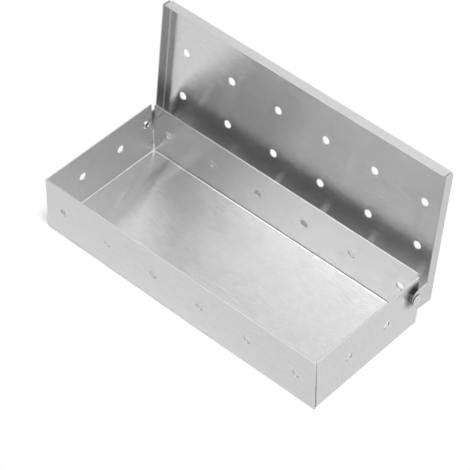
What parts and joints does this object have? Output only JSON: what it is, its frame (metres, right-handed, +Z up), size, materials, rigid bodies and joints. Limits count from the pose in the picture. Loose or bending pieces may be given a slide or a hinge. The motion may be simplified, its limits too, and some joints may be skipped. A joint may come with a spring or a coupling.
{
  "type": "grill smoker box",
  "caption": "Rectangular sheet-steel tray with a perforated lid that swings on rivets at its rear ends, holding wood chips over grill heat.",
  "frame": {"origin": "middle of the tray's flat underside", "axes": "+X along the box's length, +Y to the side where the lid is hinged, +Z up out of the tray"},
  "size_m": [0.2342, 0.1167, 0.1178],
  "materials": {
    "sheet_steel": "cold-rolled stainless sheet, semi-bright",
    "rivet_steel": "turned and headed stainless rivet"
  },
  "bodies": {
    "tray": {"tray": "sheet_steel", "hinge_rivet_left": "rivet_steel", "hinge_rivet_right": "rivet_steel"},
    "lid": {"lid": "sheet_steel"}
  },
  "joints": [
    {"name": "lid_hinge", "type": "hinge", "parent": "tray", "child": "lid", "pos_m": [0, 0.0416, 0.0277], "axis": [1, 0, 0], "range_deg": [-30.8, 97.2]}
  ]
}
